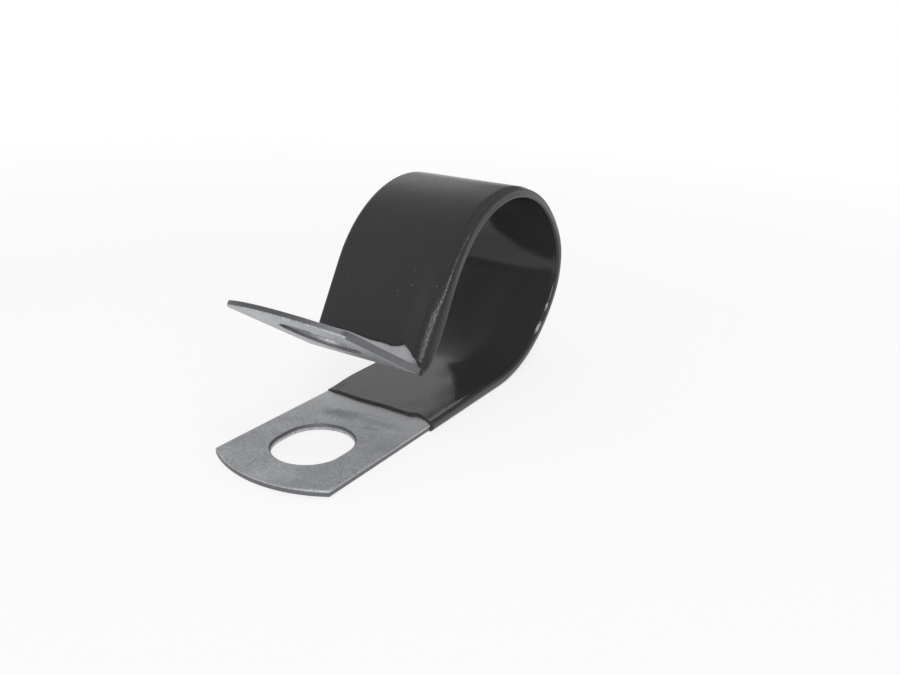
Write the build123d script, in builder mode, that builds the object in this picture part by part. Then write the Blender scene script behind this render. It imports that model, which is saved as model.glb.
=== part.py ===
import os

from build123d import *

# A loop clamp for pipes, hoses and cable bundles: one steel strip bent into an open
# loop with two slotted ears, and a PVC coating dipped over all of it but the ears.
# Millimetres. X runs along the held pipe, the ears point to -Y, and +Z is up.
# The origin is on the surface the clamp stands on, under the lower slot's centre.

# The steel strip, slit from sheet: its edges roll over on the face inside the loop
strip_width = 19.05
steel_thickness = 0.9
rolled_edge_radius = 0.3

# The ears, alike at both ends of the strip
slot_width = 9.95
slot_length = 11.8
slot_to_tip = 11.1
tip_radius = 17.4

# The strip's middle layer, from the lower slot round the loop to the upper slot
slot_to_heel = 33.5
heel_radius = 20.7
heel_angle = 60.3
crown_radius = 10.0
crown_angle = 60.3
back_radius = 19.1
back_angle = 120.7
leg_length = 11.1
ear_bend_radius = 1.55
ear_bend_angle = 93.3
bend_to_slot = 10.0

# The PVC coating, with a raised rim along the edges of its inner face
coating_thickness = 0.4
slot_to_coating = 14.5
bend_to_coating = 1.0
rim_height = 0.1
rim_width = 0.7

# The drip on the lower ear: at the +X edge the coating draws back, then runs out
lower_drip_width = 6.0
lower_drip_draw_back = 0.5
lower_drip_length = 1.1

# The drip on the leg: it leaves a peak, narrows and runs on round the ear bend
upper_drip_width = 4.3
upper_drip_peak = 0.4
upper_drip_neck = 1.75
upper_drip_tip = 0.6
upper_drip_angle = 62.0

# What follows from these sizes
half_width = strip_width / 2
middle_height = coating_thickness + steel_thickness / 2
tip_sagitta = tip_radius - (tip_radius**2 - half_width**2) ** 0.5
slot_to_corner = slot_to_tip - tip_sagitta
coated_thickness = steel_thickness + 2 * coating_thickness
coated_half_width = half_width + coating_thickness
coating_start = slot_to_coating - lower_drip_length
cut_margin = 2 * coated_thickness


def strip_run(start, bend_angle, ear_length):
    """The strip's middle layer from a point of the flat to a point past the leg."""
    with BuildLine(Plane.YZ) as run:
        flat = Line((start, middle_height), (slot_to_heel, middle_height))
        heel = JernArc(flat @ 1, flat % 1, heel_radius, heel_angle)
        crown = JernArc(heel @ 1, heel % 1, crown_radius, crown_angle)
        back = JernArc(crown @ 1, crown % 1, back_radius, back_angle)
        leg = PolarLine(back @ 1, leg_length, direction=back % 1)
        bend = JernArc(leg @ 1, leg % 1, ear_bend_radius, -bend_angle)
        if ear_length:
            PolarLine(bend @ 1, ear_length, direction=bend % 1)
    return run, bend


def across(run):
    """The plane across the strip where a run starts, with Y to the inside of the loop."""
    return Plane(run.line @ 0, x_dir=(1, 0, 0), z_dir=(0, -1, 0))


whole_run, ear_bend = strip_run(-slot_to_tip, ear_bend_angle, bend_to_slot + slot_to_tip)
coated_run, _ = strip_run(coating_start, upper_drip_angle, 0)

# On an ear's plane the slot's centre is the origin, Y points at the tip, and Z at the
# face that was inside the loop
along_pipe = Vector(1, 0, 0)
ear_direction = ear_bend % 1
upper_slot_centre = ear_bend @ 1 + ear_direction * bend_to_slot
lower_ear = Plane((0, 0, middle_height), x_dir=-along_pipe, z_dir=(0, 0, 1))
upper_ear = Plane(upper_slot_centre, x_dir=along_pipe, z_dir=along_pipe.cross(ear_direction))

# The leg's plane has its origin where the ear bend starts, and Y points up the leg
leg_plane = Plane(ear_bend @ 0, x_dir=along_pipe, z_dir=(ear_bend % 0).cross(along_pipe))

# Steel strip: blanked with a round tip and a slot at both ends, then bent
with BuildPart() as steel_strap:
    with BuildSketch(across(whole_run)) as strip_section:
        Rectangle(strip_width, steel_thickness)
        inner_corners = strip_section.vertices().group_by(Axis.Y)[-1]
        fillet(inner_corners, rolled_edge_radius)
    sweep(path=whole_run.wire())
    for ear in (lower_ear, upper_ear):
        with BuildSketch(ear):
            with Locations((0, slot_to_corner + tip_radius / 2)):
                Rectangle(2 * strip_width, tip_radius)
            with Locations((0, slot_to_tip - tip_radius)):
                Circle(tip_radius, mode=Mode.SUBTRACT)
            SlotOverall(slot_length, slot_width, rotation=90)
        extrude(amount=cut_margin, both=True, mode=Mode.SUBTRACT)

        # The punch rolls the edges over on the face it enters
        ear_faces = steel_strap.faces().filter_by(ear)
        punched_face = ear_faces.sort_by_distance(ear.origin + ear.z_dir * steel_thickness / 2)[0]
        tip_edge = punched_face.outer_wire().edges().filter_by(GeomType.CIRCLE)
        slot_edges = punched_face.inner_wires()[0].edges()
        fillet(tip_edge + slot_edges, rolled_edge_radius)
steel_strap.part.label = "steel_strap"

# PVC coating: a sleeve all round the strip, cut back to the lines where it ends
inner_face = coated_thickness / 2
rim_top = inner_face + rim_height
rim_start = coated_half_width - rim_width
rim_foot = rim_start - 2 * rim_height
half_section = [
    (coated_half_width, -inner_face),
    (coated_half_width, rim_top),
    (rim_start, rim_top),
    (rim_foot, inner_face),
]
mirrored_half = [(-x, y) for x, y in reversed(half_section)]
outer_round = 0.45 * coated_thickness
rim_round = 0.4 * rim_width
far_side = -coated_half_width - cut_margin

with BuildPart() as pvc_coating:
    with BuildSketch(across(coated_run)) as sleeve_section:
        with BuildLine():
            Polyline(*half_section, *mirrored_half, close=True)
        make_face()
        fillet(sleeve_section.vertices().group_by(Axis.Y)[0], outer_round)
        fillet(sleeve_section.vertices().group_by(Axis.Y)[-1], rim_round)
    sweep(path=coated_run.wire())
    add(steel_strap.part, mode=Mode.SUBTRACT)

    # On the lower ear the coating ends square across, but for the drip
    with BuildSketch(Plane.XY):
        with BuildLine():
            drip_root = half_width - lower_drip_width
            end_line = Line((far_side, slot_to_coating), (drip_root, slot_to_coating))
            drip = ThreePointArc(
                end_line @ 1,
                (half_width - lower_drip_width / 3, slot_to_coating + lower_drip_draw_back),
                (coated_half_width, coating_start),
            )
            Polyline(drip @ 1, (coated_half_width, 0), (far_side, 0), end_line @ 0)
        make_face()
    extrude(amount=cut_margin, mode=Mode.SUBTRACT)

    # On the leg it ends short of the ear bend, and the drip runs on round the bend
    with BuildSketch(leg_plane):
        with BuildLine():
            peak_height = bend_to_coating + upper_drip_peak
            drip_root = half_width - upper_drip_width - upper_drip_neck
            drip_side = half_width - upper_drip_tip
            past_bend = -ear_bend_radius - cut_margin
            end_line = Line((far_side, peak_height), (drip_root, bend_to_coating))
            peak = Line(end_line @ 1, (half_width - upper_drip_width, peak_height))
            drip = ThreePointArc(
                peak @ 1,
                (half_width - upper_drip_neck, 0),
                (drip_side, -ear_bend_radius),
            )
            Polyline(drip @ 1, (drip_side, past_bend), (far_side, past_bend), end_line @ 0)
        make_face()
    extrude(amount=cut_margin, both=True, mode=Mode.SUBTRACT)
pvc_coating.part.label = "pvc_coating"

os.makedirs("parts", exist_ok=True)
for piece in (steel_strap.part, pvc_coating.part):
    print(piece.label, round(piece.volume, 1), "mm3")
    export_step(piece, f"parts/{piece.label}.step")
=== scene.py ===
# %% [markdown]
# # A PVC coated loop clamp
# The real clamp is one strip of zinc plated steel. A press punches a slot and a round tip
# at both ends and folds the strip into a loop. Then all of it but the two ears is dipped
# in liquid PVC. The scene starts from a flat blank too, and draws the coating round it
# while it is flat. The folds come last, so that every surface pattern is laid on the flat
# strip and bends with it.

import math
from bisect import bisect_left

import bmesh
import bpy
from mathutils import Matrix, Vector, noise


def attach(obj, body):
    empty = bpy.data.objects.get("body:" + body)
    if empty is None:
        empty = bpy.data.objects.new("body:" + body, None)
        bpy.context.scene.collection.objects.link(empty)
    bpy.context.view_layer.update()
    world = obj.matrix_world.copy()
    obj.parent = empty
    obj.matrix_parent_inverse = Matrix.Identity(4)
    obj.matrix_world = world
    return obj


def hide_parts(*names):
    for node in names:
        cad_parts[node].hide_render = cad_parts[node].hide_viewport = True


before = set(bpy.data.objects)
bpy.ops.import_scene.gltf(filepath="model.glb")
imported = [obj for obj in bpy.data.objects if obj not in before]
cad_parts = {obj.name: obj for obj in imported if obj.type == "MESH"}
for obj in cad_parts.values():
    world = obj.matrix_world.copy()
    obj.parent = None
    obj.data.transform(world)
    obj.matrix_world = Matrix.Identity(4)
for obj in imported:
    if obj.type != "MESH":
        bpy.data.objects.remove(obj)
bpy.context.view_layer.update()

# %% [markdown]
# ## The sizes of the flat strip
# Blender works in metres and the clamp is drawn in millimetres, so one factor turns each
# size. On the flat strip X runs across it, Y along it from the middle of the lower slot,
# and Z up through its thickness, to the face that ends up inside the loop.

# %% Sizes
mm = 0.001

half_width = 9.525 * mm
steel_bottom = 0.4 * mm
steel_top = 1.3 * mm
middle_height = (steel_bottom + steel_top) / 2
rolled_edge = 0.3 * mm
sharp_edge = 0.05 * mm

slot_width = 9.95 * mm
slot_length = 11.8 * mm
slot_to_tip = 11.1 * mm
tip_radius = 17.4 * mm
tip_centre = tip_radius - slot_to_tip
tip_half_angle = math.asin(half_width / tip_radius)

# Each arc of the fold: its radius, and its turn in degrees, where minus turns outwards
flat_length = 33.5 * mm
leg_length = 11.1 * mm
heel = (20.7 * mm, 60.3)
crown = (10.0 * mm, 60.3)
back = (19.1 * mm, 120.7)
ear_bend = (1.55 * mm, -93.3)
bend_to_slot = 10.0 * mm


def arc_length(radius, turn):
    return radius * math.radians(abs(turn))


leg_start = flat_length + sum(arc_length(*arc) for arc in (heel, crown, back))
bend_start = leg_start + leg_length
upper_slot = bend_start + arc_length(*ear_bend) + bend_to_slot
print("flat strip between the slots:", round(upper_slot / mm, 2), "mm")

# %% [markdown]
# ## Where the strip folds
# A bend is a row of small folds. Each arc is cut into steps of a few degrees, and each
# step has a place on the flat strip and an angle. The first and the last step of an arc
# turn by half, so that the corners of the bent strip lie on the true arc.

# %% List the folds
def folds_of(start, radius, turn, steps):
    step_length = arc_length(radius, turn) / steps
    return [
        (start + k * step_length, math.radians(turn) / steps * (0.5 if k in (0, steps) else 1))
        for k in range(steps + 1)
    ]


folds = []
place = flat_length
for arc, steps in ((heel, 24), (crown, 24), (back, 44)):
    folds += folds_of(place, *arc, steps)
    place += arc_length(*arc)
folds += folds_of(bend_start, *ear_bend, 24)
all_turns = math.degrees(sum(angle for _, angle in folds))
print("folds:", len(folds), "turning", round(all_turns, 1), "degrees in all")

# %% [markdown]
# ## The blank of one ear
# The ear is a plate with a rounded tip and a slot. A circle that is pulled apart at its
# middle gives the slot, and a point spun about the tip's centre gives the tip. Bridging
# the two rings fills the plate between them with tidy four-sided faces, which a boolean
# cut would not do, and tidy faces make the rolled edges easy.

# %% Slot, tip and plate
blank = bmesh.new()
ring_points = 56
half_step = Matrix.Rotation(math.pi / ring_points, 4, "Z")
slot = bmesh.ops.create_circle(
    blank, segments=ring_points, radius=slot_width / 2, matrix=half_step
)["verts"]
for way in (-1, 1):
    half = [v for v in slot if v.co.y * way > 0]
    bmesh.ops.translate(blank, verts=half, vec=(0, way * (slot_length - slot_width) / 2, 0))

corner = blank.verts.new((half_width, tip_centre - tip_radius * math.cos(tip_half_angle), 0))
tip = bmesh.ops.spin(
    blank, geom=[corner], cent=(0, tip_centre, 0), axis=(0, 0, 1),
    angle=-2 * tip_half_angle, steps=24,
)
far_corner = [g for g in tip["geom_last"] if isinstance(g, bmesh.types.BMVert)][0]

root_place = 9.0 * mm
side_parts, root_parts = 10, 12
side_step = (root_place - corner.co.y) / side_parts
ends = [corner, far_corner]
for _ in range(side_parts):
    ends = bmesh.ops.extrude_vert_indiv(blank, verts=ends)["verts"]
    bmesh.ops.translate(blank, verts=ends, vec=(0, side_step, 0))
across = [min(ends, key=lambda v: v.co.x)]
for _ in range(root_parts):
    across = bmesh.ops.extrude_vert_indiv(blank, verts=across)["verts"]
    bmesh.ops.translate(blank, verts=across, vec=(2 * half_width / root_parts, 0, 0))
bmesh.ops.remove_doubles(blank, verts=blank.verts[:], dist=1e-6)
bmesh.ops.bridge_loops(blank, edges=blank.edges[:])
print("ear plate:", len(blank.faces), "faces")

# %% [markdown]
# ## The whole blank
# Both ears are alike, so the root of the ear is pulled out to the middle of the strip and
# the half is mirrored. Pulling the sheet up by the gauge of the steel makes it solid.

# %% Mirror and thicken
root = [e for e in blank.edges if all(abs(v.co.y - root_place) < 1e-6 for v in e.verts)]
pulled = bmesh.ops.extrude_edge_only(blank, edges=root)["geom"]
pulled = [g for g in pulled if isinstance(g, bmesh.types.BMVert)]
bmesh.ops.translate(blank, verts=pulled, vec=(0, upper_slot / 2 - root_place, 0))

bmesh.ops.translate(blank, verts=blank.verts[:], vec=(0, -upper_slot / 2, steel_bottom))
everything = blank.verts[:] + blank.edges[:] + blank.faces[:]
bmesh.ops.mirror(blank, geom=everything, axis="Y", merge_dist=1e-6)
bmesh.ops.translate(blank, verts=blank.verts[:], vec=(0, upper_slot / 2, 0))

raised = bmesh.ops.extrude_face_region(blank, geom=blank.faces[:])["geom"]
raised = [g for g in raised if isinstance(g, bmesh.types.BMVert)]
bmesh.ops.translate(blank, verts=raised, vec=(0, 0, steel_top - steel_bottom))
bmesh.ops.recalc_face_normals(blank, faces=blank.faces[:])
print("blank:", len(blank.faces), "faces,", round(blank.calc_volume() / mm**3), "mm3")

# %% [markdown]
# ## Rolled and sheared edges
# A punch drags the skin of the sheet down with it, so the edge is round on the face it
# enters, which here is the face inside the loop. It breaks out on the other face, where
# the edge stays sharp but for a trace of burr. Four steps round the rolled edge, and one
# narrow step takes the glare off the sharp one. The cut walls get their own material. So
# do the rolled edges round the slots, and those along the sides of the upper half, where
# its darker colour is painted shade that dims the glints they would catch.

# %% Bevel the edges
def rim_edges(height):
    """The edges all round the tips, the sides and the slots, on one face of the blank."""
    return [
        e for e in blank.edges
        if all(abs(v.co.z - height) < 1e-7 for v in e.verts)
        and any(abs(f.normal.z) < 0.1 for f in e.link_faces)
    ]


for height, offset, segments in ((steel_top, rolled_edge, 4), (steel_bottom, sharp_edge, 1)):
    bmesh.ops.bevel(
        blank, geom=rim_edges(height), offset=offset, offset_type="OFFSET", affect="EDGES",
        segments=segments, profile=0.5, material=-1,
    )
blank.normal_update()

slot_surround = 6.6 * mm
side_strip = 9.2 * mm
for face in blank.faces:
    middle = face.calc_center_median()
    from_slot = math.hypot(middle.x, min(abs(middle.y), abs(middle.y - upper_slot)))
    cut_wall = abs(face.normal.z) < 0.1
    rolled = face.normal.z < 0.95
    round_slot = from_slot < slot_surround
    # Rolled edges round the slots and along the upper half's sides get the darker sheared colour as
    # painted shade that dims their glints
    upper_side_painted_shade = abs(middle.x) > side_strip and middle.y > upper_slot / 2
    face.material_index = 1 if cut_wall or (rolled and (round_slot or upper_side_painted_shade)) else 0
print("sheared faces:", sum(f.material_index for f in blank.faces))

# %% [markdown]
# ## Folding
# The strip is cut across at each fold, and the folds are made from the upper ear back to
# the lower one. So each fold finds its own place still flat, on the table, and only turns
# what lies beyond it. Points on the fold itself turn half as far, like a mitre. Before
# that, each point keeps its flat place in an attribute, for the patterns to follow.

# %% Fold a flat piece
def keep_flat_place(piece):
    flat = piece.verts.layers.float_vector.new("flat_place")
    for vert in piece.verts:
        vert[flat] = vert.co


def fold(piece):
    flat = piece.verts.layers.float_vector["flat_place"]
    order = sorted(piece.verts, key=lambda v: v[flat].y)
    places = [v[flat].y for v in order]
    for place, angle in reversed(folds):
        first_at = bisect_left(places, place - 1e-7)
        first_beyond = bisect_left(places, place + 1e-7)
        at, beyond = order[first_at:first_beyond], order[first_beyond:]
        hinge = (0, place, middle_height)
        bmesh.ops.rotate(piece, verts=beyond, cent=hinge, matrix=Matrix.Rotation(angle, 3, "X"))
        bmesh.ops.rotate(piece, verts=at, cent=hinge, matrix=Matrix.Rotation(angle / 2, 3, "X"))


def finish_piece(piece, name, node):
    """Turn the mesh into a smooth-shaded object that rides on the clamp's one body."""
    for face in piece.faces:
        face.smooth = True
    mesh = bpy.data.meshes.new(name)
    piece.to_mesh(mesh)
    piece.free()
    made = bpy.data.objects.new(name, mesh)
    bpy.context.scene.collection.objects.link(made)
    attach(made, "root")
    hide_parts(node)
    corners = [mesh.vertices[i].co for i in range(len(mesh.vertices))]
    low = [round(min(c[k] for c in corners) / mm, 2) for k in range(3)]
    high = [round(max(c[k] for c in corners) / mm, 2) for k in range(3)]
    print(name, len(mesh.polygons), "faces, from", low, "to", high, "mm")
    return made


for place, _ in folds:
    bmesh.ops.bisect_plane(
        blank, geom=blank.verts[:] + blank.edges[:] + blank.faces[:], dist=1e-7,
        plane_co=(0, place, 0), plane_no=(0, 1, 0),
    )
keep_flat_place(blank)
fold(blank)
strap = finish_piece(blank, "plated_steel_strap", "steel_strap")

# The modifier lets wide flat faces keep their flat shading right up to a rolled edge
weighted = strap.modifiers.new("flat faces stay flat", "WEIGHTED_NORMAL")
weighted.keep_sharp = True

# %% [markdown]
# ## The section of the coating
# Liquid PVC pulls back from a sharp corner, so the sleeve is round on all its edges, and
# most of all on the outside. Along the near edge of the face inside the loop it gathered
# in a low narrow rim. Six points draw that outline, vertex bevels round them, and the long
# sides are divided, so that the ends of the sleeve can wander later.

# %% Draw the section
coat_half_width = 9.925 * mm
coat_top = 1.74 * mm
rim_top = 1.8 * mm
rim_width = 0.6 * mm
rim_foot = 0.95 * mm

outline = [
    (coat_half_width, 0),
    (coat_half_width, rim_top),
    (coat_half_width - rim_width, rim_top),
    (coat_half_width - rim_foot, coat_top),
    (-coat_half_width, coat_top),
    (-coat_half_width, 0),
]
coating = bmesh.new()
coating.faces.new([coating.verts.new((x, 0, z)) for x, z in outline])

# The two outer corners are the roundest, then the two inner ones, and then the rim's own
for corner_places, offset, segments in (
    ((0, 5), 0.8 * mm, 9), ((1, 4), 0.46 * mm, 7), ((2, 3), 0.12 * mm, 3)
):
    wanted = [tuple(Vector(outline[i])) for i in corner_places]
    corners = [v for v in coating.verts if (v.co.x, v.co.z) in wanted]
    bmesh.ops.bevel(
        coating, geom=corners, offset=offset, offset_type="OFFSET", affect="VERTICES",
        segments=segments, profile=0.5, material=-1,
    )
longest_part = 0.42 * mm
for edge in coating.edges[:]:
    cuts = math.ceil(edge.calc_length() / longest_part) - 1
    if cuts > 0:
        bmesh.ops.subdivide_edges(coating, edges=[edge], cuts=cuts)
bmesh.ops.delete(coating, geom=coating.faces[:], context="FACES_ONLY")
print("section:", len(coating.verts), "points round it")

# %% [markdown]
# ## Where the coating ends
# The dip line is straight across the strip in the rough, but the last of the PVC runs off
# at one corner. On the lower ear it draws back and then leaves a short tail on the near
# edge. On the leg it leaves a sharp peak of bare steel, and the tail runs on round the
# ear bend. Each line is a list of points across the strip, joined by a smooth curve.

# %% The two dip lines
lower_line = [
    (-9.9, 14.5), (-9.35, 14.41), (-6.9, 14.26), (-3.4, 14.11), (-1.3, 14.2), (0.96, 14.33),
    (3.15, 14.29), (4.9, 14.26), (5.6, 14.24), (6.0, 14.32), (6.35, 14.52), (6.75, 14.7),
    (7.7, 14.6), (8.5, 14.28), (9.1, 13.95), (9.925, 13.8),
]
upper_line = [
    (-9.9, -1.1), (-9.275, -1.15), (-6.775, -1.24), (-4.075, -1.24), (-2.0, -1.02),
    (-0.375, -0.88), (2.225, -0.89), (3.125, -0.8), (3.925, -0.87), (4.725, -1.1),
    (5.3, -1.46), (5.95, -1.11), (6.5, -0.8), (7.0, -0.49), (7.5, -0.02), (7.96, 0.62),
    (8.34, 1.14), (8.75, 1.7), (9.2, 2.08), (9.925, 2.2),
]


def across_at(line, x):
    """The line's place at x, on a smooth curve through its points, with a slight raggedness."""
    x = min(max(x / mm, line[0][0]), line[-1][0])
    i = max(k for k in range(len(line) - 1) if line[k][0] <= x)
    before, start, end, after = (line[min(max(i + k, 0), len(line) - 1)] for k in (-1, 0, 1, 2))
    width = end[0] - start[0]
    share = (x - start[0]) / width
    slope_in = (end[1] - before[1]) / (end[0] - before[0]) * width
    slope_out = (after[1] - start[1]) / (after[0] - start[0]) * width
    curve = (
        (2 * share**3 - 3 * share**2 + 1) * start[1] + (share**3 - 2 * share**2 + share) * slope_in
        + (3 * share**2 - 2 * share**3) * end[1] + (share**3 - share**2) * slope_out
    )
    return (curve + 0.05 * noise.noise(Vector((1.1 * x, line[0][1], 0)))) * mm


print("dip lines at the middle of the strip:", round(across_at(lower_line, 0) / mm, 2), "and",
      round(across_at(upper_line, 0) / mm, 2), "mm")

# %% [markdown]
# ## Where the PVC ran
# Liquid PVC goes on running until it is cured. Here the last of it gathered along the
# near edge of the leg. There the outside corner fills up to a fat round bead, while the
# skin on the face inside the loop gets thin. It also left the near edge of the crown thin,
# and stood in a soft shoulder where the loop turns down to the flat. So each point of the
# section has a second place in the bead and a third in the shoulder, for the sweep to use.
# Next to the lower dip line the skin is thin as well: at the far corner, and on the face
# inside the loop, where it slopes down by a hair to the near edge.

# %% The bead and the shoulder
def smooth(x, start, end):
    """0 up to the start, 1 from the end on, and a soft ramp between them."""
    share = min(max((x - start) / (end - start), 0), 1)
    return share * share * (3 - 2 * share)


# Across the strip the bead starts to rise, and has its middle, then ends with the coating
bead_start = 4.8 * mm
bead_x, bead_z = 7.6 * mm, 1.65 * mm
bead_half_width, bead_half_height = 2.325 * mm, 2.15 * mm
bead_rise = 0.5 * mm
bead_top = 1.55 * mm
squareness = 2.1

# The shoulder starts close to the near edge, and loses this share of a way beyond that
shoulder_start = 9.35 * mm
shoulder_slope = 0.45


def bead(x, z):
    """Where a point of the section lies on the bead, whose outline is a squarish ellipse."""
    if x < bead_start or z > bead_top:
        return Vector((x, 0, z))
    if x < bead_x:
        return Vector((x, 0, z - bead_rise * smooth(x, bead_start, bead_x)))
    off = Vector((x - bead_x, 0, z - bead_z))
    wide, high = off.x / bead_half_width, abs(off.z) / bead_half_height
    reach = (wide**squareness + high**squareness) ** (1 / squareness)
    return Vector((bead_x, 0, bead_z)) + off / reach


def shoulder(x, z):
    """Where a point of the section lies on the shoulder, which slopes down to the near edge."""
    if x < shoulder_start or z < steel_top:
        return Vector((x, 0, min(z, coat_top)))
    return Vector((x, 0, min(z, coat_top - shoulder_slope * (x - shoulder_start))))


print("the bead stands", round(-bead(bead_x, 0).z / mm, 2), "mm proud of the leg")

# %% [markdown]
# ## Sweeping the coating
# The ring of the section is extruded row by row: up over a rounded lip at the lower end,
# along the strip, down over a second lip at the upper end, and back along the steel, where
# it meets its own start. Each point has a foot on the steel, and a lip is the way from the
# foot to the outside. The rows near an end follow its dip line, and the line's shape fades
# out over a few millimetres.

# %% Extrude the rows
lower_end = 14.5 * mm
upper_end = bend_start - 1.0 * mm
fade_length = 5.0 * mm
lip_length = 0.3 * mm

outside = coating.verts.layers.float_vector.new("outside")
drip = coating.verts.layers.float_vector.new("drip")
soft = coating.verts.layers.float_vector.new("shoulder")
foot = coating.verts.layers.float_vector.new("foot")
flat = coating.verts.layers.float_vector.new("flat_place")
corner_radius = {True: rolled_edge, False: sharp_edge}
for vert in coating.verts:
    radius = corner_radius[vert.co.z > middle_height]
    inner = Vector((
        min(max(vert.co.x, radius - half_width), half_width - radius), 0,
        min(max(vert.co.z, steel_bottom + radius), steel_top - radius),
    ))
    vert[outside] = vert.co
    vert[drip] = bead(vert.co.x, vert.co.z)
    vert[soft] = shoulder(vert.co.x, vert.co.z)
    vert[foot] = inner + (vert.co - inner).normalized() * radius


def lump(x, y):
    """The small swelling where the lower dip line turns, in metres of extra thickness."""
    away = math.hypot((x - 5.8 * mm) / (1.0 * mm), (y - 14.6 * mm) / (0.45 * mm))
    return 0.09 * mm * math.exp(-away * away)


# The stretches along the strip in which each change of the skin comes or goes, and how
# far it brings the outside to the steel, or how steeply it slopes down to the near edge
bead_comes = (bend_start - 15 * mm, bend_start - 4 * mm)
inside_thins = (bend_start - 5 * mm, bend_start)
shoulder_comes, shoulder_goes = (44 * mm, 47 * mm), (52 * mm, 57 * mm)
edge_thins, edge_fills = (62 * mm, 72 * mm), (94 * mm, 104 * mm)
corner_fills = (lower_end, lower_end + 7 * mm)
slope_goes, steepest_slope = (14 * mm, 29 * mm), 0.0155
inside_share, edge_share, corner_share = 0.6, 0.7, 0.7
lower_line_fades = (lower_end, lower_end + fade_length)
upper_line_comes = (upper_end - fade_length, upper_end)


def lay(points, place, share):
    """Put a row of points at a place along the strip; share 0 is on the steel, 1 outside."""
    fat = smooth(place, *bead_comes)
    soft_share = smooth(place, *shoulder_comes) - smooth(place, *shoulder_goes)
    thin_inside = inside_share * smooth(place, *inside_thins)
    thin_edge = edge_share * (smooth(place, *edge_thins) - smooth(place, *edge_fills))
    thin_corner = corner_share * (1 - smooth(place, *corner_fills))
    near_slope = steepest_slope * (1 - smooth(place, *slope_goes))
    lower_share = 1 - smooth(place, *lower_line_fades)
    upper_share = smooth(place, *upper_line_comes)
    for v in points:
        x, z = v[outside].x, v[outside].z
        skin = v[outside].lerp(v[drip], fat).lerp(v[soft], soft_share)
        skin = skin.lerp(v[foot], thin_inside * smooth(z, 0.8 * mm, 1.7 * mm))
        outer_face = 1 - 0.55 * smooth(z, 0.6 * mm, 1.6 * mm)
        skin = skin.lerp(v[foot], thin_edge * outer_face * smooth(x, 8.3 * mm, 9.4 * mm))
        skin = skin.lerp(v[foot], thin_corner * smooth(-x, 7.5 * mm, 9.9 * mm))
        v.co = v[foot].lerp(skin, share)
        lower_shift = (across_at(lower_line, x) - lower_end) * lower_share
        upper_shift = (across_at(upper_line, x) + bend_start - upper_end) * upper_share
        v.co.y = place + lower_shift + upper_shift
        if z > middle_height:
            slope = near_slope * max(v.co.x - 3.5 * mm, 0)
            v.co.z += (lump(v.co.x, v.co.y) - slope) * share
        v[flat] = v.co


def lip_rows(end, way):
    quarter = [math.radians(a) for a in (0, 15, 30, 45, 60, 75, 90)]
    return [(end + way * lip_length * (1 - math.cos(a)), math.sin(a)) for a in quarter]


near_end = [x * mm for x in (0.45, 0.6, 0.8, 1.0, 1.25, 1.5, 1.8, 2.2, 2.7, 3.3, 4.0, 5.0)]
flat_rows = [lower_end + x for x in near_end]
flat_rows += [lower_end + near_end[-1] + k * 1.4 * mm for k in range(1, 10)]
leg_rows = [leg_start + k * 0.8 * mm for k in range(1, 7)]
leg_rows += [upper_end - x for x in reversed(near_end)]
fold_rows = sorted({round(p, 9) for p, _ in folds if p < leg_start + 1e-6})
along = [p for p in flat_rows if p < flat_length - 0.3 * mm] + fold_rows + leg_rows
out_rows = lip_rows(lower_end, 1) + [(p, 1) for p in along] + lip_rows(upper_end, -1)[::-1]
back_rows = [(p, 0) for p in reversed(along)] + [(lower_end, 0)]

ring = coating.edges[:]
lay(coating.verts[:], *out_rows[0])
for place, share in out_rows[1:] + back_rows:
    made = bmesh.ops.extrude_edge_only(coating, edges=ring)["geom"]
    ring = [g for g in made if isinstance(g, bmesh.types.BMEdge)]
    lay({v for e in ring for v in e.verts}, place, share)
bmesh.ops.remove_doubles(coating, verts=coating.verts[:], dist=1e-7)
bmesh.ops.recalc_face_normals(coating, faces=coating.faces[:])
open_edges = sum(len(e.link_faces) != 2 for e in coating.edges)
volume = round(coating.calc_volume() / mm**3)
print("coating:", len(coating.faces), "faces,", open_edges, "open edges,", volume, "mm3")

fold(coating)
coat = finish_piece(coating, "dipped_pvc_coating", "pvc_coating")

# %% [markdown]
# ## Making a material
# Colours are written as sRGB hex, as a colour picker shows them, and shaders work in
# linear light, so one function turns them. A second one gives the scale of a pattern from
# the real size of its spots. A third one adds a node with its settings and links, so that
# a material reads as a list of what happens to the surface.

# %% Helpers for materials
def linear(hex_colour):
    parts = [int(hex_colour[i:i + 2], 16) / 255 for i in (1, 3, 5)]
    return (*[p / 12.92 if p <= 0.04045 else ((p + 0.055) / 1.055) ** 2.4 for p in parts], 1)


def scale_for(size):
    """The scale of a pattern whose spots are this many millimetres apart."""
    return 1 / (size * mm)


def add(tree, kind, settings={}, links={}):
    made = tree.nodes.new(kind)
    for name, value in settings.items():
        if isinstance(name, str) and hasattr(made, name):
            setattr(made, name, value)
        else:
            made.inputs[name].default_value = value
    for name, output in links.items():
        tree.links.new(output, made.inputs[name])
    return made


def new_material(name):
    made = bpy.data.materials.new(name)
    made.use_nodes = True
    made.node_tree.nodes.clear()
    return made, made.node_tree


print("mid grey as the eye sees it, in linear light:", round(linear("#808080")[0], 3))
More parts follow.
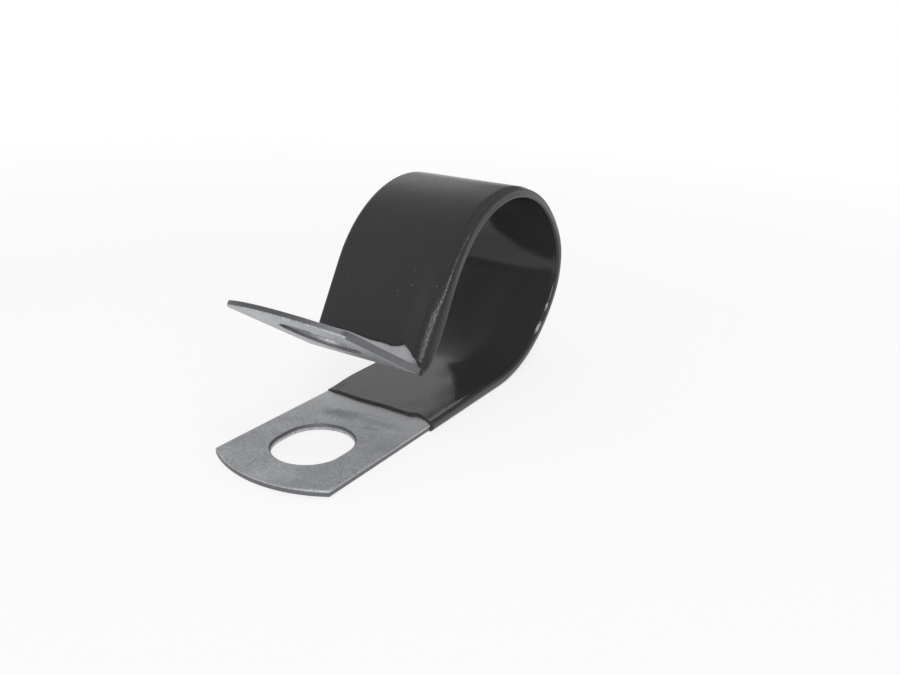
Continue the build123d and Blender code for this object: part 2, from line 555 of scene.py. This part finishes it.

# %% [markdown]
# ## Zinc plated steel
# Zinc from a plating bath is a fine crystal skin. It is a metal, but it scatters light
# like satin, with a faint cloudiness a few millimetres wide and a fine sparkle. The real
# grain is far too fine for a picture of this size, so it is drawn much coarser, at about
# a quarter of a millimetre. The zinc is drawn paler towards the coating. A clamp out of
# a bin also has a dark smudge where it was handled and a few hair scratches, each a
# stretched oval of its own.

# %% The face of the strap
def oval(tree, place, centre, half_size, turn):
    """0 in the middle of an oval on the flat strip, 1 at its edge; sizes in mm, turn in degrees."""
    onto = add(tree, "ShaderNodeMapping", {
        "vector_type": "TEXTURE",
        "Location": (centre[0] * mm, centre[1] * mm, 0),
        "Rotation": (0, 0, math.radians(turn)),
        "Scale": (half_size[0] * mm, half_size[1] * mm, 1),
    }, {"Vector": place})
    return add(
        tree, "ShaderNodeVectorMath", {"operation": "LENGTH"},
        {0: onto.outputs[0]},
    ).outputs["Value"]


zinc, tree = new_material("zinc_plated_steel")
place = add(tree, "ShaderNodeAttribute", {"attribute_name": "flat_place"}).outputs["Vector"]
clouds = add(
    tree, "ShaderNodeTexNoise", {"Scale": scale_for(3.0303), "Detail": 4, "Roughness": 0.62},
    {"Vector": place},
)
grain = add(
    tree, "ShaderNodeTexNoise", {"Scale": scale_for(0.238095), "Detail": 2, "Roughness": 0.7},
    {"Vector": place},
)
mixed = add(
    tree, "ShaderNodeMix", {"data_type": "FLOAT", 0: 0.6},
    {2: clouds.outputs[0], 3: grain.outputs[0]},
)
colour = add(tree, "ShaderNodeValToRGB", {}, {"Fac": mixed.outputs[0]})
colour.color_ramp.elements[0].position = 0.36
colour.color_ramp.elements[0].color = linear("#9fa1a4")
colour.color_ramp.elements[1].position = 0.64
colour.color_ramp.elements[1].color = linear("#d3d5d8")

ragged = add(
    tree, "ShaderNodeTexNoise", {"Scale": scale_for(0.45455), "Detail": 3, "Roughness": 0.75},
    {"Vector": place},
)
ragged = add(
    tree, "ShaderNodeMapRange", {"To Min": -1.0, "To Max": 1.0},
    {"Value": ragged.outputs[0]},
)
smudges = (
    ((-2.8, 9.2), (3.6, 1.7), 14, 0.45),
    ((3.0, 9.9), (5.6, 1.1), 3, 0.25),
    ((3.4, 7.9), (1.5, 0.7), 20, 0.3),
)
scratches = (
    ((1.6, 11.4), (3.4, 0.07), 11, 0.7),
    ((-2.8, -8.7), (1.7, 0.06), 100, 0.8),
    ((7.6, -3.5), (2.6, 0.06), 118, 0.5),
)
marks = None
for mark in smudges + scratches:
    centre, half_size, turn, depth = mark
    away = oval(tree, place, centre, half_size, turn)
    if mark in smudges:
        away = add(
            tree, "ShaderNodeMath", {"operation": "ADD"},
            {0: away, 1: ragged.outputs[0]},
        ).outputs[0]
    mark = add(
        tree, "ShaderNodeMapRange",
        {"From Min": 0.45, "From Max": 1.05, "To Min": depth, "To Max": 0.0},
        {"Value": away},
    )
    if marks:
        mark = add(
            tree, "ShaderNodeMath", {"operation": "MAXIMUM"},
            {0: marks.outputs[0], 1: mark.outputs[0]},
        )
    marks = mark
along = add(tree, "ShaderNodeSeparateXYZ", {}, {0: place})
from_upper = add(
    tree, "ShaderNodeMath", {"operation": "SUBTRACT", 0: upper_slot},
    {1: along.outputs["Y"]},
)
from_slot = add(
    tree, "ShaderNodeMath", {"operation": "MINIMUM"},
    {0: along.outputs["Y"], 1: from_upper.outputs[0]},
)
# The zinc is drawn paler towards the coating
paler_to_coating = add(
    tree, "ShaderNodeMapRange",
    {"From Min": 5 * mm, "From Max": 12.5 * mm, "To Min": 0.0, "To Max": 0.5},
    {"Value": from_slot.outputs[0]},
)
colour = add(
    tree, "ShaderNodeMix", {"data_type": "RGBA", 7: linear("#eeeff0")},
    {0: paler_to_coating.outputs[0], 6: colour.outputs[0]},
)
colour = add(
    tree, "ShaderNodeMix", {"data_type": "RGBA", 7: linear("#68696c")},
    {0: marks.outputs[0], 6: colour.outputs[2]},
)
rough = add(
    tree, "ShaderNodeMapRange", {"From Min": 0.3, "From Max": 0.7, "To Min": 0.48, "To Max": 0.6},
    {"Value": clouds.outputs[0]},
)
bumps = add(
    tree, "ShaderNodeBump", {"Strength": 0.8, "Distance": 0.02 * mm},
    {"Height": mixed.outputs[0]},
)
surface = add(
    tree, "ShaderNodeBsdfPrincipled", {"Metallic": 0.85},
    {"Base Color": colour.outputs[2], "Roughness": rough.outputs[0], "Normal": bumps.outputs[0]},
)
add(tree, "ShaderNodeOutputMaterial", {}, {"Surface": surface.outputs[0]})
strap.data.materials.append(zinc)
print("strap material:", strap.data.materials[0].name)

# %% [markdown]
# ## The sheared edge
# A punched wall has two zones. The punch first slides along the metal and burnishes it
# dark and smooth, then the rest tears off and sparkles. The tear shows in the slots. The
# long edges and the tips are smooth, as if rubbed against other clamps in a barrel. The
# flat place folded back at the middle of the strip puts one slot's pattern on both.
# Without these darker walls the bare steel would look like cut-out paper.

# %% The cut walls of the strap
sheared, tree = new_material("sheared_zinc_edge_and_painted_shade")
place = add(tree, "ShaderNodeAttribute", {"attribute_name": "flat_place"}).outputs["Vector"]
parts = add(tree, "ShaderNodeSeparateXYZ", {}, {0: place})
both_ears = add(
    tree, "ShaderNodeMath", {"operation": "PINGPONG", 1: upper_slot / 2},
    {0: parts.outputs["Y"]},
)
from_slot = add(
    tree, "ShaderNodeCombineXYZ", {},
    {"X": parts.outputs["X"], "Y": both_ears.outputs[0]},
)
from_slot = add(
    tree, "ShaderNodeVectorMath", {"operation": "LENGTH"},
    {0: from_slot.outputs[0]},
).outputs["Value"]
in_slot = add(
    tree, "ShaderNodeMapRange",
    {"From Min": 6.2 * mm, "From Max": slot_surround, "To Min": 1.0, "To Max": 0.0},
    {"Value": from_slot},
)
tear_scale = (scale_for(0.29412), scale_for(0.29412), scale_for(0.45455))
stretched = add(tree, "ShaderNodeMapping", {"Scale": tear_scale}, {"Vector": place})
tears = add(
    tree, "ShaderNodeTexNoise", {"Scale": 1, "Detail": 3, "Roughness": 0.75},
    {"Vector": stretched.outputs[0]},
)
ragged = add(tree, "ShaderNodeMath", {"operation": "MULTIPLY", 1: 0.3 * mm}, {0: tears.outputs[0]})
height = add(
    tree, "ShaderNodeMath", {"operation": "ADD"},
    {0: parts.outputs["Z"], 1: ragged.outputs[0]},
)
torn = add(
    tree, "ShaderNodeMapRange",
    {"From Min": 0.92 * mm, "From Max": 1.08 * mm, "To Min": 1.0, "To Max": 0.0},
    {"Value": height.outputs[0]},
)
torn = add(
    tree, "ShaderNodeMath", {"operation": "MULTIPLY"},
    {0: torn.outputs[0], 1: in_slot.outputs[0]},
)
colour = add(tree, "ShaderNodeValToRGB", {}, {"Fac": tears.outputs[0]})
colour.color_ramp.elements[0].position = 0.3
colour.color_ramp.elements[0].color = linear("#8a8b8d")
colour.color_ramp.elements[1].position = 0.7
colour.color_ramp.elements[1].color = linear("#d6d7d8")
# On the rolled edges round the slots and along the upper half's sides, this burnished colour is
# painted shade
burnished_and_shade = add(tree, "ShaderNodeValToRGB", {}, {"Fac": tears.outputs[0]})
burnished_and_shade.color_ramp.elements[0].position = 0.2
burnished_and_shade.color_ramp.elements[0].color = linear("#6b6c6f")
burnished_and_shade.color_ramp.elements[1].position = 0.8
burnished_and_shade.color_ramp.elements[1].color = linear("#838487")
colour = add(
    tree, "ShaderNodeMix", {"data_type": "RGBA"},
    {0: torn.outputs[0], 6: burnished_and_shade.outputs[0], 7: colour.outputs[0]},
)
bumps = add(
    tree, "ShaderNodeBump", {"Strength": 0.4, "Distance": 0.03 * mm},
    {"Height": tears.outputs[0]},
)
surface = add(
    tree, "ShaderNodeBsdfPrincipled", {"Metallic": 0.9, "Roughness": 0.56},
    {"Base Color": colour.outputs[2], "Normal": bumps.outputs[0]},
)
add(tree, "ShaderNodeOutputMaterial", {}, {"Surface": surface.outputs[0]})
strap.data.materials.append(sheared)
print("strap materials:", [m.name for m in strap.data.materials])

# %% [markdown]
# ## Dipped PVC
# Plastisol cures to a soft glossy skin. It is black all through, so nearly all that the
# eye gets from it is the mirror of the room. That mirror is slightly wavy where the
# liquid ran, and the outer face is finely pitted like orange peel, which breaks a lamp's
# streak into sparkles. The pits are too fine to measure in a picture of this size, so
# they are drawn 0.2 mm wide, just coarse enough to show. The flat run mirrors sharp
# edges, and the loop is a little duller.
# Soft PVC also holds on to specks of dust, one or two in a square centimetre.

# %% The coating
pvc, tree = new_material("black_dipped_pvc")
place = add(tree, "ShaderNodeAttribute", {"attribute_name": "flat_place"}).outputs["Vector"]
waves = add(tree, "ShaderNodeTexNoise", {"Scale": scale_for(6.25), "Detail": 1}, {"Vector": place})
peel = add(
    tree, "ShaderNodeTexNoise", {"Scale": scale_for(0.22222), "Detail": 1},
    {"Vector": place},
)
parts = add(tree, "ShaderNodeSeparateXYZ", {}, {0: place})
depth = add(
    tree, "ShaderNodeMapRange",
    {"From Min": steel_bottom, "From Max": steel_top, "To Min": 1.0, "To Max": 0.2},
    {"Value": parts.outputs["Z"]},
)
peel = add(
    tree, "ShaderNodeMath", {"operation": "MULTIPLY"},
    {0: peel.outputs[0], 1: depth.outputs[0]},
)
slow = add(
    tree, "ShaderNodeBump", {"Strength": 0.25, "Distance": 0.3 * mm},
    {"Height": waves.outputs[0]},
)
fine = add(
    tree, "ShaderNodeBump", {"Strength": 1.0, "Distance": 0.05 * mm},
    {"Height": peel.outputs[0], "Normal": slow.outputs[0]},
)
rough = add(
    tree, "ShaderNodeMapRange",
    {"From Min": 30 * mm, "From Max": 42 * mm, "To Min": 0.06, "To Max": 0.13},
    {"Value": parts.outputs["Y"]},
)

cells = add(tree, "ShaderNodeTexVoronoi", {"Scale": scale_for(2.0)}, {"Vector": place})
chance = add(tree, "ShaderNodeSeparateColor", {}, {0: cells.outputs["Color"]})
chosen = add(
    tree, "ShaderNodeMapRange", {"From Min": 0.2, "From Max": 1.0, "To Min": 0.0, "To Max": 0.6},
    {"Value": chance.outputs[0]},
)
speck = add(
    tree, "ShaderNodeMapRange", {"From Min": 0.02, "From Max": 0.055, "To Min": 1.0, "To Max": 0.0},
    {"Value": cells.outputs["Distance"]},
)
dust = add(
    tree, "ShaderNodeMath", {"operation": "MULTIPLY"},
    {0: chosen.outputs[0], 1: speck.outputs[0]},
)
colour = add(
    tree, "ShaderNodeMix", {"data_type": "RGBA", 6: linear("#333234"), 7: linear("#9a9a98")},
    {0: dust.outputs[0]},
)
surface = add(
    tree, "ShaderNodeBsdfPrincipled", {"IOR": 1.5, "Specular IOR Level": 0.35},
    {"Base Color": colour.outputs[2], "Roughness": rough.outputs[0], "Normal": fine.outputs[0]},
)
add(tree, "ShaderNodeOutputMaterial", {}, {"Surface": surface.outputs[0]})
coat.data.materials.append(pvc)
print("coating material:", coat.data.materials[0].name)

# %% [markdown]
# ## The table and the room
# The clamp stands on a pale table in a white studio. What the camera sees of both is
# white, but the light they give stays plain, so the table keeps the clamp's soft shadow.
# Metal and gloss see a room that is white at the horizon. It has a wide window on the left,
# bright at the back and dim at the front, then a dark corner, and a pale wall that fades
# to the right. Gloss needs that: a room of one even white would leave the black PVC
# without a single edge between light and dark.

# %% Floor and world
def seen_share(tree):
    """1 for what the camera sees, straight, mirrored or through glass, and 0 for lighting."""
    ray = add(tree, "ShaderNodeLightPath").outputs
    share = ray["Is Camera Ray"]
    for kind in ("Is Glossy Ray", "Is Transmission Ray"):
        share = add(
            tree, "ShaderNodeMath", {"operation": "MAXIMUM"},
            {0: share, 1: ray[kind]},
        ).outputs[0]
    return share


floor_shape = bmesh.new()
bmesh.ops.create_grid(floor_shape, x_segments=2, y_segments=2, size=3.0)
floor_mesh = bpy.data.meshes.new("table_top")
floor_shape.to_mesh(floor_mesh)
floor_shape.free()
floor = bpy.data.objects.new("table_top", floor_mesh)
bpy.context.scene.collection.objects.link(floor)

# Near the clamp the camera sees more of the real, shaded table, and far off only white
paper, tree = new_material("pale_matt_table")
place = add(tree, "ShaderNodeTexCoord").outputs["Object"]
away = add(tree, "ShaderNodeVectorMath", {"operation": "LENGTH"}, {0: place}).outputs["Value"]
share = add(
    tree, "ShaderNodeMapRange", {"From Min": 0.1, "From Max": 0.3, "To Min": 0.78, "To Max": 1.0},
    {"Value": away},
)
share = add(
    tree, "ShaderNodeMath", {"operation": "MULTIPLY"},
    {0: seen_share(tree), 1: share.outputs[0]},
)
matt = add(tree, "ShaderNodeBsdfDiffuse", {"Color": linear("#f2f2f2")})
white = add(tree, "ShaderNodeEmission", {"Color": (1, 1, 1, 1), "Strength": 1.0})
both = add(
    tree, "ShaderNodeMixShader", {},
    {0: share.outputs[0], 1: matt.outputs[0], 2: white.outputs[0]},
)
add(tree, "ShaderNodeOutputMaterial", {}, {"Surface": both.outputs[0]})
floor.data.materials.append(paper)

world = bpy.data.worlds.new("white_studio")
bpy.context.scene.world = world
world.use_nodes = True
tree = world.node_tree
tree.nodes.clear()

# The way a ray goes, as a unit vector: X along the held pipe, Y to the back, Z up
way = add(tree, "ShaderNodeTexCoord").outputs["Generated"]
way = add(tree, "ShaderNodeSeparateXYZ", {}, {0: way})
horizon = add(
    tree, "ShaderNodeMapRange", {"From Min": 0.0, "From Max": 0.06, "To Min": 1.0, "To Max": 0.0},
    {"Value": way.outputs["Z"]},
)
window = add(tree, "ShaderNodeMapRange", {
    "interpolation_type": "SMOOTHSTEP",
    "From Min": -0.475, "From Max": -0.467, "To Min": 1.0, "To Max": 0.0,
}, {"Value": way.outputs["X"]})
behind = add(tree, "ShaderNodeMapRange", {
    "interpolation_type": "SMOOTHSTEP",
    "From Min": 0.0, "From Max": 0.7, "To Min": 0.62, "To Max": 1.0,
}, {"Value": way.outputs["Y"]})
low = add(
    tree, "ShaderNodeMapRange", {"From Min": 0.28, "From Max": 0.39, "To Min": 0.55, "To Max": 1.0},
    {"Value": way.outputs["Z"]},
)
high = add(
    tree, "ShaderNodeMapRange", {"From Min": 0.44, "From Max": 0.58, "To Min": 1.0, "To Max": 0.72},
    {"Value": way.outputs["Z"]},
)
for part in (behind, low, high):
    window = add(
        tree, "ShaderNodeMath", {"operation": "MULTIPLY"},
        {0: window.outputs[0], 1: part.outputs[0]},
    )
room = add(
    tree, "ShaderNodeMath", {"operation": "MAXIMUM"},
    {0: horizon.outputs[0], 1: window.outputs[0]},
)
sideways = add(
    tree, "ShaderNodeMapRange", {"From Min": -1.0, "From Max": 1.0, "To Min": 0.0, "To Max": 1.0},
    {"Value": way.outputs["X"]},
)
walls = add(tree, "ShaderNodeValToRGB", {}, {"Fac": sideways.outputs[0]})
walls.color_ramp.elements[0].position = 0.34
walls.color_ramp.elements[0].color = (0.12, 0.12, 0.12, 1)
walls.color_ramp.elements[1].position = 0.75
walls.color_ramp.elements[1].color = (0.3, 0.3, 0.3, 1)
walls.color_ramp.elements.new(0.45).color = (0.5, 0.5, 0.5, 1)
room = add(
    tree, "ShaderNodeMath", {"operation": "MAXIMUM"},
    {0: room.outputs[0], 1: walls.outputs[0]},
)

# Straight on, the camera sees no room at all but plain white
ray = add(tree, "ShaderNodeLightPath").outputs
room = add(
    tree, "ShaderNodeMath", {"operation": "MAXIMUM"},
    {0: room.outputs[0], 1: ray["Is Camera Ray"]},
)
plain = add(tree, "ShaderNodeBackground", {"Color": (1, 1, 1, 1), "Strength": 0.66})
white = add(tree, "ShaderNodeBackground", {"Strength": 1.0}, {"Color": room.outputs[0]})
both = add(
    tree, "ShaderNodeMixShader", {},
    {0: seen_share(tree), 1: plain.outputs[0], 2: white.outputs[0]},
)
add(tree, "ShaderNodeOutputWorld", {}, {"Surface": both.outputs[0]})
print("floor is", floor.dimensions.x, "m wide")

# %% [markdown]
# ## Lamps
# A row of lamps stands on the right, from beside the camera to overhead. Only a surface
# that is turned well to the right can mirror them, so the flat faces stay dark, and the
# round near edge of the coating catches a streak from the first lamp and short glints
# from the other two. The first is the widest, because gloss draws a lamp's own shape and
# the streak on the bead is wide and soft.

# %% Set the lamps
def lamp(name, place, target, size, power):
    data = bpy.data.lights.new(name, "AREA")
    data.shape = "DISK"
    data.size = size
    data.energy = power
    made = bpy.data.objects.new(name, data)
    bpy.context.scene.collection.objects.link(made)
    made.location = place
    made.rotation_euler = (Vector(target) - Vector(place)).to_track_quat("-Z", "Y").to_euler()
    return made


clamp_middle = (0, 0.02, 0.015)
lamp("lamp_beside_camera", (0.26, -0.40, 0.30), clamp_middle, 0.22, 0.8)
lamp("lamp_above_camera", (0.25, -0.30, 0.46), clamp_middle, 0.08, 0.25)
lamp("lamp_overhead", (0.21, -0.08, 0.57), clamp_middle, 0.1, 0.35)

# %% [markdown]
# ## The camera
# The camera's place comes from fitting the clamp's outline to the photograph: where it
# stands round the clamp, how high, how far its picture is turned, and its lens.

# %% Place the camera
azimuth, elevation, roll = (math.radians(a) for a in (31.223, 20.544, 2.2186))
camera_place = (0.06857, -0.07915, 0.05571)
lens = 34.857
backwards = Vector((
    math.sin(azimuth) * math.cos(elevation),
    -math.cos(azimuth) * math.cos(elevation),
    math.sin(elevation),
))
right = Vector((math.cos(azimuth), math.sin(azimuth), 0))
up = backwards.cross(right)
turned_right = math.cos(roll) * right + math.sin(roll) * up
turned_up = math.cos(roll) * up - math.sin(roll) * right
camera_data = bpy.data.cameras.new("camera")
camera_data.sensor_width = 36
camera_data.lens = lens
camera_data.clip_start = 0.005
camera = bpy.data.objects.new("camera", camera_data)
bpy.context.scene.collection.objects.link(camera)
axes = Matrix((turned_right, turned_up, backwards)).transposed().to_4x4()
camera.matrix_world = Matrix.Translation(camera_place) @ axes
bpy.context.scene.camera = camera
bpy.context.scene.view_settings.view_transform = "Standard"
print("camera to clamp:", round((camera.location - Vector(clamp_middle)).length / mm), "mm")
